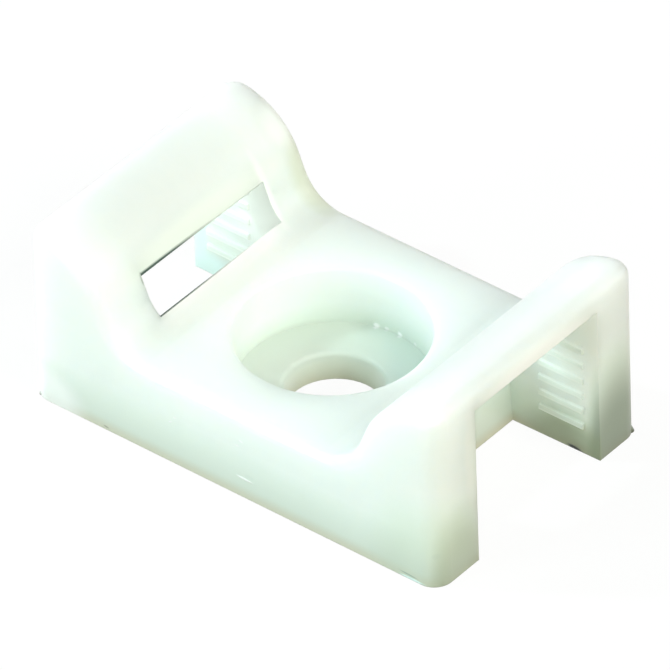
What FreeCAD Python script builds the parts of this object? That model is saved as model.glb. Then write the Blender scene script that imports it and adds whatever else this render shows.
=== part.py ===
import FreeCAD, Part
import math
import os
import Sketcher
from FreeCAD import Placement, Rotation, Vector

# Cable tie mount: one moulded nylon body, screwed down through its middle.
# Origin on the mounting face at the axis of the screw hole.
# X runs along the body from lip to lip, Y across it, Z up. All sizes in mm and degrees.

SIZES = {
    # body
    "body_length": 22.0,          # end face to end face, at the foot
    "body_width": 13.65,
    "floor_height": 4.32,         # mounting face to the flat floor of the cradle
    "corner_round": 0.9,          # upright corners
    "edge_round": 0.6,            # all round the top, cradle and lips alike
    "end_draft": 0.4,             # lean of the end faces, in degrees
    # cradle and lips, seen from the side
    "cradle_round": 2.0,          # from the floor up into the lip
    "lip_slope": 68.5,            # steepest part of the cradle, in degrees
    "lip_round": 3.75,            # the lip's broad inner shoulder
    "lip_height": 8.88,
    "lip_crest_inset": 0.5,       # end face to the lip's highest line
    # tie passages: an open notch at each end, roofed by the lip, that breaks through the cradle
    "notch_depth": 4.63,          # end face to the notch's back wall, at the foot
    "notch_back_lean": 4.0,       # of the back wall, towards the screw hole, in degrees
    "leg_thickness": 2.73,        # each leg beside the notch, at the end face
    "notch_taper": 0.06,          # how much narrower each side is at the back wall
    "notch_mouth_height": 7.93,   # underside of the lip at the end face
    "notch_back_height": 6.07,    # the same slope carried on to the back wall, measured up that wall
    # screw hole
    "hole_diameter": 4.3,
    "recess_diameter": 8.5,       # takes the screw's head
    "seat_height": 1.42,          # mounting face to the ledge under the head
    "recess_rim_round": 0.2,
    "hole_rim_round": 0.2,
    # grip ribs on the inner faces of the four legs
    "rib_count": 6,
    "rib_pitch": 0.8,
    "rib_first": 1.5,             # height of the lowest rib's middle
    "rib_width": 0.46,
    "rib_crest_width": 0.26,
    "rib_height": 0.12,           # how far a rib stands out of the leg
    "rib_length": 2.35,
    "rib_inset": 0.8,             # end face to the near end of the ribs
}

TOLERANCE = 1e-4
CUTTER_REACH = 1.0                # how far a cutting shape runs past the face it opens
RIM_POINTS = 7                    # points at which an edge is tried against a round wall


def make_sheet(doc):
    """Put every size in the sheet, each in a cell that has the size's name."""
    sheet = doc.addObject("Spreadsheet::Sheet", "Sizes")
    for row, (name, value) in enumerate(SIZES.items(), start=1):
        sheet.set(f"A{row}", name)
        sheet.set(f"B{row}", str(value))
        sheet.setAlias(f"B{row}", name)
    doc.recompute()
    return sheet


def size(name):
    return "Sizes." + name


def origin_plane(body, role):
    return next(f for f in body.Origin.OriginFeatures if f.Role == role)


def add_sketch(body, name, role, offset=None):
    """A sketch on one of the body's own planes, moved along its normal by an expression."""
    sketch = body.newObject("Sketcher::SketchObject", name)
    sketch.AttachmentSupport = [(origin_plane(body, role), "")]
    sketch.MapMode = "FlatFace"
    if offset:
        sketch.setExpression("AttachmentOffset.Base.z", offset)
    return sketch


def lean_back(sketch, degrees):
    """Tip an upright sketch about the line where it meets the mounting face."""
    towards_hole = Rotation(Vector(-1, 0, 0), SIZES["notch_back_lean"])
    sketch.AttachmentOffset = Placement(sketch.AttachmentOffset.Base, towards_hole)
    sketch.setExpression("AttachmentOffset.Rotation.Angle", degrees)


class Outline:
    """Adds lines, arcs and named, sheet-driven constraints to one sketch."""

    def __init__(self, sketch):
        self.sketch = sketch

    def line(self, start, end):
        return self.sketch.addGeometry(Part.LineSegment(Vector(*start, 0), Vector(*end, 0)), False)

    def arc(self, start, middle, end):
        points = [Vector(*point, 0) for point in (start, middle, end)]
        return self.sketch.addGeometry(Part.Arc(*points), False)

    def circle(self, radius):
        return self.sketch.addGeometry(Part.Circle(Vector(0, 0, 0), Vector(0, 0, 1), radius), False)

    def rule(self, kind, *where):
        return self.sketch.addConstraint(Sketcher.Constraint(kind, *where))

    def drive(self, name, expression, kind, *where):
        """A dimension whose value comes from the sheet."""
        index = self.sketch.addConstraint(Sketcher.Constraint(kind, *where))
        self.sketch.renameConstraint(index, name)
        self.sketch.setExpression("Constraints." + name, expression)

    def loop(self, lines):
        """Join the end of each line to the start of the next, and close the ring."""
        for here, there in zip(lines, lines[1:] + lines[:1]):
            self.rule("Coincident", here, 2, there, 1)

    def polygon(self, corners):
        lines = [self.line(a, b) for a, b in zip(corners, corners[1:] + corners[:1])]
        self.loop(lines)
        return lines


def on_arc(centre, radius, degrees):
    """Point of a circle, the angle counted from straight up towards the screw hole."""
    turn = math.radians(degrees)
    return centre[0] - radius * math.sin(turn), centre[1] + radius * math.cos(turn)


def half_profile(body):
    """Side view of the right half: floor, cradle curve, lip and end face."""
    sketch = add_sketch(body, "HalfProfile", "XZ_Plane")
    view = Outline(sketch)
    half = SIZES["body_length"] / 2
    floor = SIZES["floor_height"]
    slope_angle = SIZES["lip_slope"]
    lip, cradle = SIZES["lip_round"], SIZES["cradle_round"]
    lip_centre = (half - SIZES["lip_crest_inset"], SIZES["lip_height"] - lip)
    slope_top = on_arc(lip_centre, lip, slope_angle)
    slope_foot_z = floor + cradle * (1 - math.cos(math.radians(slope_angle)))
    run = (slope_top[1] - slope_foot_z) / math.tan(math.radians(slope_angle))
    slope_foot = (slope_top[0] - run, slope_foot_z)
    cradle_centre = (slope_foot[0] - cradle * math.sin(math.radians(slope_angle)), floor + cradle)
    lip_end = on_arc(lip_centre, lip, -math.degrees(math.asin(SIZES["lip_crest_inset"] / lip)))

    foot = view.line((0, 0), (half, 0))
    end = view.line((half, 0), lip_end)
    shoulder = view.arc(lip_end, on_arc(lip_centre, lip, slope_angle / 2), slope_top)
    slope = view.line(slope_top, slope_foot)
    hollow_middle = on_arc(cradle_centre, cradle, 180 + slope_angle / 2)
    hollow = view.arc(slope_foot, hollow_middle, (cradle_centre[0], floor))
    flat = view.line((cradle_centre[0], floor), (0, floor))
    middle = view.line((0, floor), (0, 0))
    # the shoulder runs from the end face upwards, the hollow from the floor side
    view.rule("Coincident", foot, 2, end, 1)
    view.rule("Coincident", end, 2, shoulder, 1)
    view.rule("Tangent", shoulder, 2, slope, 1)
    view.rule("Tangent", slope, 2, hollow, 2)
    view.rule("Tangent", hollow, 1, flat, 1)
    view.rule("Coincident", flat, 2, middle, 1)
    view.rule("Coincident", middle, 2, foot, 1)
    view.rule("Coincident", foot, 1, -1, 1)
    view.rule("Horizontal", foot)
    view.rule("Horizontal", flat)
    view.rule("Vertical", middle)
    view.drive("half_length", f"{size('body_length')} / 2", "Distance", foot, half)
    view.drive("floor", size("floor_height"), "Distance", middle, floor)
    view.drive("draft", f"90 + {size('end_draft')}", "Angle", foot, 1, end, 1, math.pi / 2)
    view.drive("slope", size("lip_slope"), "Angle", flat, 2, slope, 2, math.radians(slope_angle))
    view.drive("hollow", size("cradle_round"), "Radius", hollow, cradle)
    view.drive("shoulder", size("lip_round"), "Radius", shoulder, lip)
    view.drive("crest_x", f"{size('body_length')} / 2 - {size('lip_crest_inset')}",
               "DistanceX", -1, 1, shoulder, 3, lip_centre[0])
    view.drive("crest_z", f"{size('lip_height')} - {size('lip_round')}",
               "DistanceY", -1, 1, shoulder, 3, lip_centre[1])
    return sketch


def notch_section(body, name, offset, half_width, height):
    """Section of the notch, across the body: it starts below the mounting face, its roof is flat."""
    sketch = add_sketch(body, name, "YZ_Plane", offset)
    view = Outline(sketch)
    side = SIZES["body_width"] / 2 - SIZES["leg_thickness"]
    top = SIZES[height]
    corners = [(-side, -CUTTER_REACH), (side, -CUTTER_REACH), (side, top), (-side, top)]
    foot, right, roof, left = view.polygon(corners)
    view.rule("Horizontal", foot)
    view.rule("Vertical", left)
    view.rule("Symmetric", roof, 1, roof, 2, -2)
    view.rule("Vertical", right)
    view.drive("half_width", half_width, "DistanceX", -1, 1, roof, 1, side)
    view.drive("roof", size(height), "DistanceY", -1, 1, roof, 1, top)
    view.rule("DistanceY", foot, 1, -1, 1, CUTTER_REACH)
    return sketch


def rib_section(body):
    """One grip rib, across the body: a low ridge whose root is sunk in the leg."""
    back = f"{size('body_length')} / 2 - {size('rib_inset')} - {size('rib_length')}"
    sketch = add_sketch(body, "RibSection", "YZ_Plane", back)
    view = Outline(sketch)
    wide, narrow, stand = SIZES["rib_width"], SIZES["rib_crest_width"], SIZES["rib_height"]
    side = SIZES["body_width"] / 2 - SIZES["leg_thickness"]
    crest_y = side - SIZES["notch_taper"] / 2 - stand
    low = SIZES["rib_first"] - wide / 2
    step = (wide - narrow) / 2
    root_y = side + stand
    high = low + wide
    corners = [(crest_y, low + step), (root_y, low), (root_y, high), (crest_y, high - step)]
    lower, root, upper, crest = view.polygon(corners)
    view.rule("Vertical", root)
    view.rule("Vertical", crest)
    view.rule("Equal", lower, upper)
    face = f"{size('body_width')} / 2 - {size('leg_thickness')}"
    view.drive("width", size("rib_width"), "Distance", root, wide)
    view.drive("crest_width", size("rib_crest_width"), "Distance", crest, narrow)
    view.drive("crest_y", f"{face} - {size('notch_taper')} / 2 - {size('rib_height')}",
               "DistanceX", -1, 1, crest, 1, crest_y)
    view.drive("root_y", f"{face} + {size('rib_height')}", "DistanceX", -1, 1, root, 1, root_y)
    view.drive("foot_z", f"{size('rib_first')} - {size('rib_width')} / 2", "DistanceY", -1, 1, root, 1, low)
    return sketch


def wall_edges(shape, accept):
    """Names of the edges of a shape that a test accepts."""
    return [f"Edge{i}" for i, edge in enumerate(shape.Edges, start=1) if accept(edge)]


def add_fillet(body, base, name, accept, radius):
    fillet = body.newObject("PartDesign::Fillet", name)
    fillet.Base = (base, wall_edges(base.Shape, accept))
    fillet.setExpression("Radius", radius)
    return fillet


def mirrored_about_middle(body, name, original):
    """The left half, copied from the right one."""
    mirror = body.newObject("PartDesign::Mirrored", name)
    mirror.Originals = [original]
    mirror.MirrorPlane = (origin_plane(body, "YZ_Plane"), [""])
    body.Tip = mirror
    return mirror


def add_block(doc, body):
    """The solid saddle: both halves, then its corners and top edges rounded."""
    pad = body.newObject("PartDesign::Pad", "RightHalf")
    pad.Profile = half_profile(body)
    pad.Midplane = True
    pad.setExpression("Length", size("body_width"))
    doc.recompute()
    block = mirrored_about_middle(body, "BothHalves", pad)
    doc.recompute()

    def is_corner(edge):
        box = edge.BoundBox
        return box.ZMin < TOLERANCE and box.ZMax > SIZES["floor_height"]

    corners = add_fillet(body, block, "CornerRounds", is_corner, size("corner_round"))
    doc.recompute()

    def is_top(edge):
        box = edge.BoundBox
        is_seam = box.YLength > SIZES["body_width"] - TOLERANCE
        return box.ZMin > SIZES["floor_height"] - TOLERANCE and not is_seam

    rounds = add_fillet(body, corners, "TopRounds", is_top, size("edge_round"))
    doc.recompute()
    return rounds


def add_notches(doc, body):
    """Open tie passage at each end, tapering inwards under a sloping roof."""
    half = f"{size('body_length')} / 2"
    leg = f"{size('body_width')} / 2 - {size('leg_thickness')}"
    back = notch_section(body, "NotchBack", f"{half} - {size('notch_depth')}",
                         f"{leg} - {size('notch_taper')}", "notch_back_height")
    lean_back(back, size("notch_back_lean"))
    mouth = notch_section(body, "NotchMouth", half, leg, "notch_mouth_height")
    doc.recompute()
    notch = body.newObject("PartDesign::SubtractiveLoft", "Notch")
    notch.Profile = back
    notch.Sections = [mouth]
    notch.Ruled = True
    doc.recompute()
    both = mirrored_about_middle(body, "BothNotches", notch)
    doc.recompute()
    return both


def add_screw_hole(doc, body):
    """Through hole with a flat-bottomed recess for the screw's head, open up to the lips' height."""
    sketch = add_sketch(body, "HoleCentre", "XY_Plane", size("lip_height"))
    view = Outline(sketch)
    ring = view.circle(SIZES["hole_diameter"] / 2)
    view.rule("Coincident", ring, 3, -1, 1)
    view.drive("diameter", size("hole_diameter"), "Diameter", ring, SIZES["hole_diameter"])
    doc.recompute()
    hole = body.newObject("PartDesign::Hole", "ScrewHole")
    hole.Profile = sketch
    doc.recompute()
    hole.Threaded = False
    hole.DepthType = "ThroughAll"
    hole.setExpression("Diameter", size("hole_diameter"))
    hole.HoleCutType = "Counterbore"
    hole.HoleCutCustomValues = True
    hole.setExpression("HoleCutDiameter", size("recess_diameter"))
    hole.setExpression("HoleCutDepth", f"{size('lip_height')} - {size('seat_height')}")
    doc.recompute()

    def is_rim(diameter, height):
        """The mouth of a round wall: all of it that far from the axis, none of it lower."""
        def test(edge):
            reach = [math.hypot(p.x, p.y) for p in edge.discretize(Number=RIM_POINTS)]
            on_wall = all(abs(r - diameter / 2) < TOLERANCE for r in reach)
            return on_wall and edge.BoundBox.ZMin > height - TOLERANCE
        return test

    recess_rim = add_fillet(body, hole, "RecessRim", is_rim(SIZES["recess_diameter"], SIZES["floor_height"]),
                            size("recess_rim_round"))
    doc.recompute()
    hole_rim = add_fillet(body, recess_rim, "HoleRim", is_rim(SIZES["hole_diameter"], SIZES["seat_height"]),
                          size("hole_rim_round"))
    doc.recompute()
    return hole_rim


def add_ribs(doc, body):
    """Grip ribs: one ridge, repeated up the leg and mirrored to the other three legs."""
    rib = body.newObject("PartDesign::Pad", "Rib")
    rib.Profile = rib_section(body)
    rib.setExpression("Length", size("rib_length"))
    doc.recompute()
    ribs = body.newObject("PartDesign::MultiTransform", "Ribs")
    ribs.Originals = [rib]
    row = body.newObject("PartDesign::LinearPattern", "RibRow")
    row.Direction = (rib.Profile[0], ["V_Axis"])
    row.setExpression("Length", f"({size('rib_count')} - 1) * {size('rib_pitch')}")
    row.setExpression("Occurrences", size("rib_count"))
    across = body.newObject("PartDesign::Mirrored", "RibsAcross")
    across.MirrorPlane = (origin_plane(body, "XZ_Plane"), [""])
    along = body.newObject("PartDesign::Mirrored", "RibsAlong")
    along.MirrorPlane = (origin_plane(body, "YZ_Plane"), [""])
    ribs.Transformations = [row, across, along]
    body.Tip = ribs
    doc.recompute()
    return ribs


def check(doc, bodies):
    for thing in doc.Objects:
        if "Invalid" in thing.State or "Error" in thing.State:
            raise RuntimeError(f"{thing.Name} failed: {thing.State}")
    for body in bodies:
        if body.Shape.isNull() or not body.Shape.isValid():
            raise RuntimeError(f"{body.Label} has no valid shape")


def volume_of(feature):
    return feature.Shape.Volume


doc = FreeCAD.newDocument("CableTieMount")
make_sheet(doc)
mount = doc.addObject("PartDesign::Body", "TieMount")
mount.Label = "tie_mount"

block = add_block(doc, mount)
notched = add_notches(doc, mount)
drilled = add_screw_hole(doc, mount)
ribbed = add_ribs(doc, mount)
check(doc, [mount])

# each cut takes material away and the ribs add some
if not volume_of(block) > volume_of(notched) > volume_of(drilled):
    raise RuntimeError("a cut removed nothing")
if volume_of(ribbed) <= volume_of(drilled):
    raise RuntimeError("the ribs added nothing")

os.makedirs("parts", exist_ok=True)
mount.Shape.exportStep(os.path.join("parts", mount.Label + ".step"))
shape = mount.Shape
print(f"{mount.Label}: {shape.Volume:.1f} mm3, {len(shape.Solids)} solid, {len(shape.Faces)} faces")
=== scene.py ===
import math
import bmesh
import bpy
from mathutils import Matrix, Vector


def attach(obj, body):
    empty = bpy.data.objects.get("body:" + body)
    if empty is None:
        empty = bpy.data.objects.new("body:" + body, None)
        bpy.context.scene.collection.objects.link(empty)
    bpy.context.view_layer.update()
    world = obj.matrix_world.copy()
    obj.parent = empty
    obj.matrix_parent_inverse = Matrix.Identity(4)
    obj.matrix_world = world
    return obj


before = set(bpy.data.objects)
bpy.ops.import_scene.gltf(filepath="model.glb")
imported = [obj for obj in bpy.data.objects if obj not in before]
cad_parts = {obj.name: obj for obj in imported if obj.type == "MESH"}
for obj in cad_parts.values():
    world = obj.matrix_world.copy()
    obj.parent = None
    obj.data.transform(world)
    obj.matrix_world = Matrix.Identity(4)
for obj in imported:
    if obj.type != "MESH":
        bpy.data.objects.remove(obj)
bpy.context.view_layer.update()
mm = 0.001  # metres
print("frame loaded:", ", ".join(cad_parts))


def hexToLinear(code):
    parts = [int(code[i:i + 2], 16) / 255 for i in (1, 3, 5)]
    return [c / 12.92 if c <= 0.04045 else ((c + 0.055) / 1.055) ** 2.4 for c in parts] + [1.0]


def addNode(tree, kind, settings={}, links={}):
    # a setting names a property of the node or one of its sockets, a link gives a socket its source;
    # a colour Mix takes its two colours in sockets 6 and 7 and gives the result from output 2
    node = tree.nodes.new(kind)
    for name, value in settings.items():
        if isinstance(name, str) and hasattr(node, name):
            setattr(node, name, value)
        else:
            node.inputs[name].default_value = value
    for name, (source, output) in links.items():
        tree.links.new(source.outputs[output], node.inputs[name])
    return node


def emptyMaterial(name):
    material = bpy.data.materials.new(name)
    material.use_nodes = True
    material.node_tree.nodes.clear()
    return material, material.node_tree


# Natural polyamide 6/6, injection moulded in one shot with no pigment. Light goes a few millimetres into it
# and comes out scattered, so it looks milky, glows where a wall is thin and greys towards a dull table.
nylon = {
    "palest": "#F3FCF5",
    "deepest": "#ECF8EE",
    "driftSize": 5.0,        # mm, slow drift of tone through the melt
    "driftDetail": 2.0,      # octaves, here and below
    "flowLength": 9.0,       # mm, streaks along the way the melt ran, from lip to lip
    "flowWidth": 0.9,        # mm
    "flowDetail": 3.0,
    "flowShare": 0.4,        # of the streaks beside the drift
    "footShadeTint": "#D2CDB8",   # painted shade and a painted reflection of the tan table along the edge it stands on
    "footHeight": 0.7,       # mm
    "footStrength": 0.8,
    "lowShadeTint": "#D2DACF",  # and the walls above it painted darker towards the bottom, as painted shade
    "lowShadeHeight": 2.5,      # mm
    "lowShadeStrength": 0.9,
    "edgeTint": "#FFFFFF",   # edges painted whiter, as a painted highlight
    "edgeStrength": 0.3,
    "edgeRadius": 0.07,      # mm, mould edges are never quite sharp
    "edgeSamples": 6,
    "edgeTilt": (0.93, 0.75),  # cosine of the round's tilt, where the white starts and where it is full
    "grainSize": 0.11,       # mm, spark-eroded mould face
    "grainDetail": 2.0,
    "grainHeight": 0.0016,   # mm
    "peelSize": 1.3,         # mm, faint waviness left as the walls shrink
    "peelDetail": 1.0,
    "peelHeight": 0.0025,    # mm
    "dragWidth": 0.07,       # mm, upright lines where the walls slid out of the mould
    "dragLength": 2.5,       # mm
    "dragDetail": 1.0,
    "dragHeight": 0.0008,    # mm
    "noiseSpan": (0.1, 0.9),          # between which a noise's values lie
    "scatterDepth": (5.6, 5.2, 4.7),  # mm, for red, green and blue
    "roughness": (0.30, 0.37),        # satin, a little uneven
    "ior": 1.53,
}


def meltTone(tree, place):
    drift = addNode(tree, "ShaderNodeTexNoise", {
        "Scale": 1 / (nylon["driftSize"] * mm), "Detail": nylon["driftDetail"]},
        {"Vector": (place, "Object")})
    along, across = 1 / (nylon["flowLength"] * mm), 1 / (nylon["flowWidth"] * mm)
    flowPlace = addNode(tree, "ShaderNodeMapping", {"Scale": (along, across, across)},
                        {"Vector": (place, "Object")})
    flow = addNode(tree, "ShaderNodeTexNoise", {"Scale": 1.0, "Detail": nylon["flowDetail"]},
                   {"Vector": (flowPlace, "Vector")})
    melt = addNode(tree, "ShaderNodeMix", {"data_type": "FLOAT", "Factor": nylon["flowShare"]},
                   {2: (drift, "Fac"), 3: (flow, "Fac")})
    evened = addNode(tree, "ShaderNodeMapRange", {
        "From Min": nylon["noiseSpan"][0], "From Max": nylon["noiseSpan"][1]}, {"Value": (melt, 0)})
    return addNode(tree, "ShaderNodeMix", {
        "data_type": "RGBA", 6: hexToLinear(nylon["palest"]), 7: hexToLinear(nylon["deepest"])},
        {0: (evened, "Result")})


# painted shade: the walls darker towards the bottom, and tan along the foot as a painted reflection of the
# table
def shadeTowardsFoot(tree, axes, tone):
    lowShade = addNode(tree, "ShaderNodeMapRange", {
        "From Min": 0.0, "From Max": nylon["lowShadeHeight"] * mm,
        "To Min": nylon["lowShadeStrength"], "To Max": 0.0}, {"Value": (axes, "Z")})
    tone = addNode(tree, "ShaderNodeMix", {"data_type": "RGBA", 7: hexToLinear(nylon["lowShadeTint"])},
                   {0: (lowShade, "Result"), 6: (tone, 2)})
    foot = addNode(tree, "ShaderNodeMapRange", {
        "interpolation_type": "SMOOTHSTEP", "From Min": 0.0, "From Max": nylon["footHeight"] * mm,
        "To Min": nylon["footStrength"], "To Max": 0.0}, {"Value": (axes, "Z")})
    tone = addNode(tree, "ShaderNodeMix", {"data_type": "RGBA", 7: hexToLinear(nylon["footShadeTint"])},
                   {0: (foot, "Result"), 6: (tone, 2)})
    return tone, lowShade


# painted highlight: whiter where the rounded edge's normal turns away from the face's
def highlitEdges(tree, tone):
    rounded = addNode(tree, "ShaderNodeBevel", {
        "samples": nylon["edgeSamples"], "Radius": nylon["edgeRadius"] * mm})
    shape = addNode(tree, "ShaderNodeNewGeometry")
    turned = addNode(tree, "ShaderNodeVectorMath", {"operation": "DOT_PRODUCT"},
                     {0: (rounded, "Normal"), 1: (shape, "Normal")})
    edge = addNode(tree, "ShaderNodeMapRange", {
        "From Min": nylon["edgeTilt"][0], "From Max": nylon["edgeTilt"][1],
        "To Min": 0.0, "To Max": nylon["edgeStrength"]}, {"Value": (turned, "Value")})
    tone = addNode(tree, "ShaderNodeMix", {"data_type": "RGBA", 7: hexToLinear(nylon["edgeTint"])},
                   {0: (edge, "Result"), 6: (tone, 2)})
    return tone, rounded


# painted highlight on the ridges in the notches, pale along their crests, most at each lower edge; sizes in
# mm
ridgeHighlight = {
    "tint": "#F8FFF8",
    "crestStrength": 0.5,
    "lineStrength": 1.0,
    "crest": 3.95,      # from the mount's middle line to the crests
    "root": 4.06,       # and to the notch wall
    "margin": 0.1,      # a face further in than this past the crests is no ridge
    "middle": 9.0,      # of the ridges, along the mount
    "reach": 1.35,      # half their length
    "top": 6.0,         # no ridge is higher
    "first": 1.5,       # height of the lowest
    "pitch": 0.8,
    "lineBelow": 0.11,  # from a crest's middle down to its lower edge
    "lineHalf": 0.07,   # half the width of the brighter line there
}


# painted highlight: paler along the ridges' crests, with a brighter painted line at each lower edge
def litRidges(tree, axes, side, tone):
    along = addNode(tree, "ShaderNodeMath", {"operation": "ABSOLUTE"}, {0: (axes, "X")})
    crest = addNode(tree, "ShaderNodeMapRange", {
        "From Min": ridgeHighlight["root"] * mm, "From Max": ridgeHighlight["crest"] * mm}, {"Value": (side, 0)})
    onPitch = addNode(tree, "ShaderNodeMath", {
        "operation": "ADD", 1: (ridgeHighlight["pitch"] / 2 - ridgeHighlight["first"]) * mm}, {0: (axes, "Z")})
    onPitch = addNode(tree, "ShaderNodeMath", {"operation": "FLOORED_MODULO", 1: ridgeHighlight["pitch"] * mm},
                      {0: (onPitch, 0)})
    line = addNode(tree, "ShaderNodeMath", {
        "operation": "COMPARE", 1: (ridgeHighlight["pitch"] / 2 - ridgeHighlight["lineBelow"]) * mm,
        2: ridgeHighlight["lineHalf"] * mm}, {0: (onPitch, 0)})
    ridgeLine = addNode(tree, "ShaderNodeMapRange", {
        "To Min": ridgeHighlight["crestStrength"], "To Max": ridgeHighlight["lineStrength"]}, {"Value": (line, 0)})
    inNotch = addNode(tree, "ShaderNodeMath", {
        "operation": "COMPARE", 1: ridgeHighlight["middle"] * mm, 2: ridgeHighlight["reach"] * mm}, {0: (along, 0)})
    onWall = addNode(tree, "ShaderNodeMath", {
        "operation": "GREATER_THAN", 1: (ridgeHighlight["crest"] - ridgeHighlight["margin"]) * mm}, {0: (side, 0)})
    underLip = addNode(tree, "ShaderNodeMath", {"operation": "LESS_THAN", 1: ridgeHighlight["top"] * mm},
                       {0: (axes, "Z")})
    ridgeLit = crest
    for limit in (inNotch, ridgeLine, onWall, underLip):
        ridgeLit = addNode(tree, "ShaderNodeMath", {"operation": "MULTIPLY"}, {0: (ridgeLit, 0), 1: (limit, 0)})
    tone = addNode(tree, "ShaderNodeMix", {"data_type": "RGBA", 7: hexToLinear(ridgeHighlight["tint"])},
                   {0: (ridgeLit, 0), 6: (tone, 2)})
    return tone, ridgeLit


def mouldSkin(tree, place, rounded):
    grain = addNode(tree, "ShaderNodeTexNoise", {
        "Scale": 1 / (nylon["grainSize"] * mm), "Detail": nylon["grainDetail"]},
        {"Vector": (place, "Object")})
    peel = addNode(tree, "ShaderNodeTexNoise", {
        "Scale": 1 / (nylon["peelSize"] * mm), "Detail": nylon["peelDetail"]},
        {"Vector": (place, "Object")})
    across, upright = 1 / (nylon["dragWidth"] * mm), 1 / (nylon["dragLength"] * mm)
    dragPlace = addNode(tree, "ShaderNodeMapping", {"Scale": (across, across, upright)},
                        {"Vector": (place, "Object")})
    drag = addNode(tree, "ShaderNodeTexNoise", {"Scale": 1.0, "Detail": nylon["dragDetail"]},
                   {"Vector": (dragPlace, "Vector")})
    skin = rounded
    for pattern, height in ((grain, "grainHeight"), (peel, "peelHeight"), (drag, "dragHeight")):
        skin = addNode(tree, "ShaderNodeBump", {"Distance": nylon[height] * mm},
                       {"Height": (pattern, "Fac"), "Normal": (skin, "Normal")})
    return skin, peel


# marks left by the mould and by handling, painted glints and shadows, and broad patches of painted light and
# shade
markFade = 0.6  # of its half sizes, over which a mark fades out
marks = [
    # name, centre and half sizes in mm, turn about Y in degrees, tint, strength, height in mm
    ("burrOnFront", (0.68, -6.80, 1.01), (0.56, 0.30, 0.075), 3, "#FFFFFF", 1.0, 0.03),
    ("dentOverBurr", (0.95, -6.80, 1.22), (0.36, 0.30, 0.16), 0, "#D4E2D8", 0.3, -0.01),
    ("nickLeftLow", (-3.30, -6.80, 2.16), (0.13, 0.30, 0.05), -20, "#FFFFFF", 0.8, 0.01),
    ("nickLeftHigh", (-3.05, -6.80, 2.49), (0.13, 0.30, 0.04), -15, "#FFFFFF", 0.7, 0.01),
    ("scuffMiddleLow", (0.34, -6.80, 2.66), (0.16, 0.30, 0.05), 0, "#FFFFFF", 0.6, 0.008),
    ("scuffMiddleHigh", (0.56, -6.80, 2.98), (0.18, 0.30, 0.07), 12, "#FFFFFF", 0.7, 0.008),
    # painted glints: white highlights painted at the foot of the recess's wall
    ("glintFirst", (-1.02, 4.13, 1.50), (0.20, 0.30, 0.16), 0, "#FFFFFF", 1.0, 0.03),
    ("glintSecond", (-0.53, 4.22, 1.50), (0.16, 0.30, 0.11), 0, "#FFFFFF", 0.8, 0.02),
    ("glintThird", (0.16, 4.25, 1.50), (0.18, 0.30, 0.15), 20, "#FFFFFF", 1.0, 0.03),
    ("glintFourth", (1.09, 4.11, 1.50), (0.14, 0.30, 0.10), 0, "#FFFFFF", 0.6, 0.01),
    # painted shade: a dark line painted at the left slot's upper front corner
    ("shadedSlotCorner", (-6.90, -4.07, 6.30), (0.12, 0.10, 0.45), -29, "#3C5046", 0.8, 0.0),
    # painted light and shade: broad soft patches painted paler or darker, where the real nylon carries more
    # or less light through its walls than this scatters
    ("shadedLegEnd", (-10.75, 4.08, 2.6), (0.75, 0.25, 3.8), 0, "#E2F8FC", 0.7, 0.0),
    ("litSlotEdge", (-6.99, 0.0, 7.0), (0.7, 6.8, 1.9), 0, "#FFFFF8", 0.6, 0.0),
    ("litMouthEdge", (11.0, 0.0, 7.95), (0.6, 5.4, 1.0), 0, "#FFFFFF", 1.0, 0.0),
    ("litMouthSide", (11.0, -4.3, 5.8), (0.5, 0.7, 3.6), 0, "#FFFFF8", 0.5, 0.0),
    ("litFootLeft", (-10.1, -6.6, 0.4), (2.6, 0.9, 1.8), 0, "#FFFFFF", 0.8, 0.0),
    ("shadedEndFront", (11.0, -5.3, -0.6), (0.8, 2.8, 5.0), 0, "#8E9880", 0.6, 0.0),
    ("shadedCornerFront", (10.4, -6.3, 0.2), (4.0, 3.0, 5.0), 0, "#C2CEBC", 0.5, 0.0),
    ("shadedEndRear", (11.0, 5.5, -1.2), (0.9, 4.2, 7.6), 0, "#6E7A66", 0.8, 0.0),
    ("litNotchBack", (-7.2, 4.05, 5.0), (2.0, 0.4, 3.4), 0, "#FFFFFF", 0.9, 0.0),
    ("litLegFoot", (-10.4, 4.09, 0.0), (2.4, 0.4, 1.8), 0, "#E8FFFF", 0.85, 0.0),
    ("litLipEnd", (-7.9, 6.3, 7.7), (1.5, 1.1, 1.4), 0, "#FFFFFF", 0.7, 0.0),
    ("shadedRearEdge", (-6.3, 6.6, 5.8), (1.5, 1.4, 2.8), -25, "#D4D6C0", 0.65, 0.0),
    ("litHole", (0.0, 0.0, 0.45), (3.6, 3.6, 1.3), 0, "#F4F6E8", 0.9, 0.0),
    ("litSeat", (3.3, -0.3, 1.42), (1.8, 3.6, 0.5), 0, "#ECFFFF", 0.9, 0.0),
    ("shadedSeat", (-3.2, 0.9, 1.30), (2.2, 3.8, 0.45), 0, "#D2D8D0", 0.45, 0.0),
    ("shadedLegFoot", (9.3, 4.09, 0.1), (3.2, 0.25, 2.0), 0, "#949F80", 0.65, 0.0),
    # flaws near and along the foot, with a painted shadow under the flake and painted near-black shade in the
    # chip
    ("gateSpeck", (10.72, -6.55, 1.62), (0.24, 0.24, 0.22), 0, "#C0CCC0", 0.4, -0.004),
    ("footSmudge", (-6.88, -6.82, 0.16), (0.20, 0.30, 0.05), 8, "#8B8678", 0.7, 0.0),
    ("footFlake", (9.62, -6.82, 0.06), (0.85, 0.30, 0.09), 0, "#EAFFFF", 0.9, 0.01),
    ("flakeShadow", (9.45, -6.82, 0.22), (0.62, 0.30, 0.05), 3, "#8FA79A", 0.8, 0.0),
    # painted shadow: the chip painted near-black, with a small dent
    ("chippedFootShadow", (9.66, 4.10, 0.06), (0.50, 0.20, 0.15), 6, "#20281F", 1.0, -0.03),
]


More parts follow.
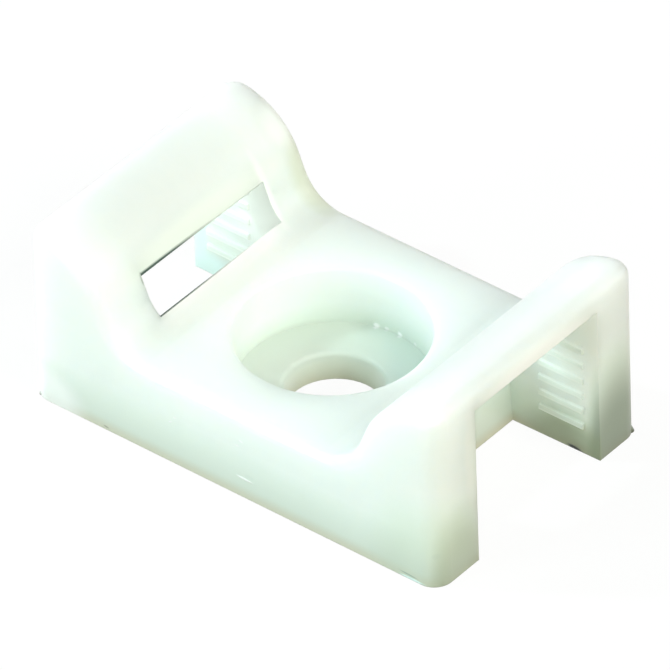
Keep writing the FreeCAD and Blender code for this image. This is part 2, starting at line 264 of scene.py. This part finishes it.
def layMarks(tree, place, tone, onSkin, skin):
    for name, centre, size, turn, tint, strength, height in marks:
        spot = addNode(tree, "ShaderNodeMapping", {
            "label": name, "vector_type": "TEXTURE", "Location": Vector(centre) * mm,
            "Rotation": (0, math.radians(turn), 0), "Scale": Vector(size) * mm},
            {"Vector": (place, "Object")})
        ball = addNode(tree, "ShaderNodeTexGradient", {"gradient_type": "SPHERICAL"},
                       {"Vector": (spot, "Vector")})
        blot = addNode(tree, "ShaderNodeMapRange", {
            "interpolation_type": "SMOOTHSTEP", "From Max": markFade, "To Max": strength},
            {"Value": (ball, "Fac")})
        tone = addNode(tree, "ShaderNodeMix", {"data_type": "RGBA", 7: hexToLinear(tint)},
                       {0: (blot, "Result"), 6: (tone, 2)})
        onSkin = addNode(tree, "ShaderNodeMath", {"operation": "MAXIMUM"},
                         {0: (onSkin, 0), 1: (blot, "Result")})
        if height:
            skin = addNode(tree, "ShaderNodeBump", {"Distance": abs(height) * mm, "invert": height < 0},
                           {"Height": (blot, "Result"), "Normal": (skin, "Normal")})
    return tone, onSkin, skin


# painted shade: a fine dark line painted along the left slot's upper and lower
# edges, strongest at the front; places and sizes in mm
slotEdgeShade = {
    "tint": "#3C5046",
    "strength": 1.0,
    "fade": 0.55,      # of its half sizes, over which a line fades out
    "slotHalf": 4.05,  # half the slot's length, past which there is no line
    "upper": (-6.98, -4.05, 6.46),
    "upperSize": (0.17, 5.6, 0.17),
    "lower": (-6.03, -4.05, 4.76),
    "lowerSize": (0.09, 6.5, 0.09),
}


# painted shade: dark lines painted along the left slot's edges
def layShadedSlotEdges(tree, place, side, tone, onSkin):
    inSlot = addNode(tree, "ShaderNodeMath", {"operation": "LESS_THAN", 1: slotEdgeShade["slotHalf"] * mm},
                     {0: (side, 0)})
    for edge in ("upper", "lower"):
        spot = addNode(tree, "ShaderNodeMapping", {
            "label": edge + "EdgeShade", "vector_type": "TEXTURE", "Location": Vector(slotEdgeShade[edge]) * mm,
            "Scale": Vector(slotEdgeShade[edge + "Size"]) * mm}, {"Vector": (place, "Object")})
        ball = addNode(tree, "ShaderNodeTexGradient", {"gradient_type": "SPHERICAL"},
                       {"Vector": (spot, "Vector")})
        line = addNode(tree, "ShaderNodeMapRange", {
            "From Max": slotEdgeShade["fade"], "To Max": slotEdgeShade["strength"]}, {"Value": (ball, "Fac")})
        line = addNode(tree, "ShaderNodeMath", {"operation": "MULTIPLY"},
                       {0: (line, "Result"), 1: (inSlot, 0)})
        tone = addNode(tree, "ShaderNodeMix", {"data_type": "RGBA", 7: hexToLinear(slotEdgeShade["tint"])},
                       {0: (line, 0), 6: (tone, 2)})
        onSkin = addNode(tree, "ShaderNodeMath", {"operation": "MAXIMUM"}, {0: (onSkin, 0), 1: (line, 0)})
    return tone, onSkin


def naturalNylon():
    material, tree = emptyMaterial("naturalNylon")
    place = addNode(tree, "ShaderNodeTexCoord")
    axes = addNode(tree, "ShaderNodeSeparateXYZ", {}, {0: (place, "Object")})
    side = addNode(tree, "ShaderNodeMath", {"operation": "ABSOLUTE"}, {0: (axes, "Y")})
    tone = meltTone(tree, place)
    tone, lowShade = shadeTowardsFoot(tree, axes, tone)
    tone, rounded = highlitEdges(tree, tone)
    tone, ridgeLit = litRidges(tree, axes, side, tone)
    skin, peel = mouldSkin(tree, place, rounded)
    onSkin = addNode(tree, "ShaderNodeMath", {"operation": "MAXIMUM"}, {0: (lowShade, "Result"), 1: (ridgeLit, 0)})
    tone, onSkin, skin = layMarks(tree, place, tone, onSkin, skin)
    tone, onSkin = layShadedSlotEdges(tree, place, side, tone, onSkin)
    clear = addNode(tree, "ShaderNodeMath", {"operation": "SUBTRACT", 0: 1.0}, {1: (onSkin, 0)})
    matt = addNode(tree, "ShaderNodeMapRange", {
        "From Min": nylon["noiseSpan"][0], "From Max": nylon["noiseSpan"][1],
        "To Min": nylon["roughness"][0], "To Max": nylon["roughness"][1]}, {"Value": (peel, "Fac")})
    # the ridges' painted highlight, the painted shade low on the walls and the marks let no light in, the
    # clear skin between them does
    milky = addNode(tree, "ShaderNodeBsdfPrincipled", {
        "IOR": nylon["ior"], "Subsurface Radius": nylon["scatterDepth"], "Subsurface Scale": mm},
        {"Subsurface Weight": (clear, 0), "Base Color": (tone, 2), "Roughness": (matt, "Result"),
         "Normal": (skin, "Normal")})
    addNode(tree, "ShaderNodeOutputMaterial", {}, {"Surface": (milky, "BSDF")})
    return material


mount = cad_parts["tie_mount"]
mount.data.materials.clear()
mount.data.materials.append(naturalNylon())
print("nylon on", mount.name)

# a little flash left standing out at the foot of two corners, sizes in mm
flash = {
    "height": 0.42,
    "width": 0.40,
    "tipWidth": 0.04,
    "corner": (10.1, 5.925),  # middle of a foot corner's round
    "round": 0.9,             # its radius
    "sides": 24,
}
horns = [
    # name, end, side, degrees from the length, how far it stands out in mm
    ("rearRightHorn", 1, 1, 40, 0.12),
    ("frontLeftHorn", -1, -1, 50, 0.06),
]


def buildHorn(name, end, side, angle, proud):
    turn = math.radians(angle)
    inset = flash["round"] + proud - flash["width"] / 2
    centre = Vector((end * (flash["corner"][0] + inset * math.cos(turn)),
                     side * (flash["corner"][1] + inset * math.sin(turn)), flash["height"] / 2)) * mm
    shape = bmesh.new()
    bmesh.ops.create_cone(shape, cap_ends=True, segments=flash["sides"], radius1=flash["width"] / 2 * mm,
                          radius2=flash["tipWidth"] / 2 * mm, depth=flash["height"] * mm,
                          matrix=Matrix.Translation(centre))
    for face in shape.faces:
        face.smooth = len(face.verts) == 4  # round its side, with flat ends
    mesh = bpy.data.meshes.new(name)
    shape.to_mesh(mesh)
    shape.free()
    horn = bpy.data.objects.new(name, mesh)
    bpy.context.scene.collection.objects.link(horn)
    mesh.materials.append(mount.data.materials[0])
    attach(horn, "root")


for horn in horns:
    buildHorn(*horn)
print("flash at", len(horns), "corners")


# pale table and soft light all round, strongest from both ends and the front left, as in a small light tent
studio = {
    "tableSide": 1.2,            # m
    "tableTone": "#FFFFFF",
    "tableGlow": 0.92,           # share of the lens's white table that is lit evenly, so the shadow is faint
    "tableBounce": "#A2967E",    # what the part sees of the table, dull and warm
    "backdropTone": "#FFFFFF",
    "whiteLevel": 1.0,           # of the even light in the table and of the backdrop
    "tentTone": "#F0FFFA",
    "tentLight": 0.15,
    "lampDistance": 720,         # mm from the part
}
lamps = [
    # name, degrees round from the long front, degrees up, side in mm, watts, colour
    ("leftSoftbox", 272, 12, 300, 3.1, "#FFFCFC"),
    ("frontLeftSoftbox", 334, 16, 250, 2.95, "#E6FAFF"),
    ("keyLamp", 303, 44, 40, 1.55, "#E0FFFF"),
    ("frontRightSoftbox", 45, 30, 300, 1.4, "#E8FFF0"),
    ("rightSoftbox", 90, 43, 300, 3.15, "#FFFAEC"),
    ("backRightSoftbox", 135, 25, 300, 0.6, "#F6FAFF"),
    ("backLeftSoftbox", 225, 25, 300, 0.35, "#F8FFFF"),
]


def seenPlainly(tree):
    # 1 for what the lens sees, itself or in a gloss or through something clear, and 0 for light on its way
    path = addNode(tree, "ShaderNodeLightPath")
    direct = addNode(tree, "ShaderNodeMath", {"operation": "MAXIMUM"},
                     {0: (path, "Is Camera Ray"), 1: (path, "Is Glossy Ray")})
    return addNode(tree, "ShaderNodeMath", {"operation": "MAXIMUM"},
                   {0: (direct, 0), 1: (path, "Is Transmission Ray")})


def whiteTable():
    # white to the lens with the part's shadow kept, duller in what it throws back at the part
    material, tree = emptyMaterial("whiteTable")
    lit = addNode(tree, "ShaderNodeBsdfDiffuse", {"Color": hexToLinear(studio["tableTone"])})
    glow = addNode(tree, "ShaderNodeEmission", {
        "Color": hexToLinear(studio["tableTone"]), "Strength": studio["whiteLevel"]})
    seen = addNode(tree, "ShaderNodeMixShader", {0: studio["tableGlow"]}, {1: (lit, 0), 2: (glow, 0)})
    bounced = addNode(tree, "ShaderNodeBsdfDiffuse", {"Color": hexToLinear(studio["tableBounce"])})
    mixed = addNode(tree, "ShaderNodeMixShader", {},
                    {0: (seenPlainly(tree), 0), 1: (bounced, 0), 2: (seen, 0)})
    addNode(tree, "ShaderNodeOutputMaterial", {}, {"Surface": (mixed, "Shader")})
    return material


def hangTent():
    world = bpy.data.worlds.new("tent")
    bpy.context.scene.world = world
    world.use_nodes = True
    tree = world.node_tree
    tree.nodes.clear()
    tent = addNode(tree, "ShaderNodeBackground", {
        "Color": hexToLinear(studio["tentTone"]), "Strength": studio["tentLight"]})
    backdrop = addNode(tree, "ShaderNodeBackground", {
        "Color": hexToLinear(studio["backdropTone"]), "Strength": studio["whiteLevel"]})
    mixed = addNode(tree, "ShaderNodeMixShader", {},
                    {0: (seenPlainly(tree), 0), 1: (tent, 0), 2: (backdrop, 0)})
    addNode(tree, "ShaderNodeOutputWorld", {}, {"Surface": (mixed, "Shader")})


def hangLamp(name, azimuth, elevation, side, watts, tint):
    lamp = bpy.data.lights.new(name, "AREA")
    lamp.shape = "SQUARE"
    lamp.size = side * mm
    lamp.energy = watts
    lamp.color = hexToLinear(tint)[:3]
    softbox = bpy.data.objects.new(name, lamp)
    bpy.context.scene.collection.objects.link(softbox)
    raised = Vector((0, -math.cos(math.radians(elevation)), math.sin(math.radians(elevation))))
    place = Matrix.Rotation(math.radians(azimuth), 3, "Z") @ raised
    softbox.location = place * studio["lampDistance"] * mm
    softbox.rotation_euler = (-softbox.location).to_track_quat("-Z", "Y").to_euler()


def buildStudio():
    bpy.ops.mesh.primitive_plane_add(size=studio["tableSide"])
    table = bpy.context.object
    table.name = "table"
    table.data.materials.append(whiteTable())
    hangTent()
    for lamp in lamps:
        hangLamp(*lamp)


buildStudio()
print("studio lit")


# the photograph's viewpoint, looking down over the right end's front corner
view = {
    "azimuth": 40.081,     # degrees
    "elevation": 38.724,   # degrees
    "roll": -1.843,        # degrees
    "distance": 506.558,   # mm, from the foot of the screw hole
    "focalLength": 12000,  # pixels of the photograph
    "photoSide": 670,
    "holeAcross": 0.081,   # pixels from the picture's middle to the foot of the screw hole
    "holeDown": 75.483,
    "sensorWidth": 36,     # mm
    "nearest": 0.05,       # m
    "farthest": 5,         # m
}


def aimCamera():
    azimuth, elevation = math.radians(view["azimuth"]), math.radians(view["elevation"])
    back = Vector((math.sin(azimuth) * math.cos(elevation), -math.cos(azimuth) * math.cos(elevation),
                   math.sin(elevation)))
    level = Vector((math.cos(azimuth), math.sin(azimuth), 0))
    right = Matrix.Rotation(math.radians(view["roll"]), 3, back) @ level
    up = back.cross(right)
    pixel = view["distance"] * mm / view["focalLength"]
    target = up * (view["holeDown"] * pixel) - right * (view["holeAcross"] * pixel)
    eye = back * (view["distance"] * mm)
    aim = (eye - target).normalized()
    side = (right - aim * right.dot(aim)).normalized()
    lens = bpy.data.cameras.new("lens")
    lens.sensor_width = view["sensorWidth"]
    lens.lens = lens.sensor_width * view["focalLength"] / view["photoSide"]
    lens.clip_start, lens.clip_end = view["nearest"], view["farthest"]
    camera = bpy.data.objects.new("camera", lens)
    bpy.context.scene.collection.objects.link(camera)
    camera.matrix_world = Matrix((side, aim.cross(side), aim)).transposed().to_4x4()
    camera.location = eye
    bpy.context.scene.camera = camera


aimCamera()
bpy.context.scene.view_settings.view_transform = "Standard"
print("camera aimed")
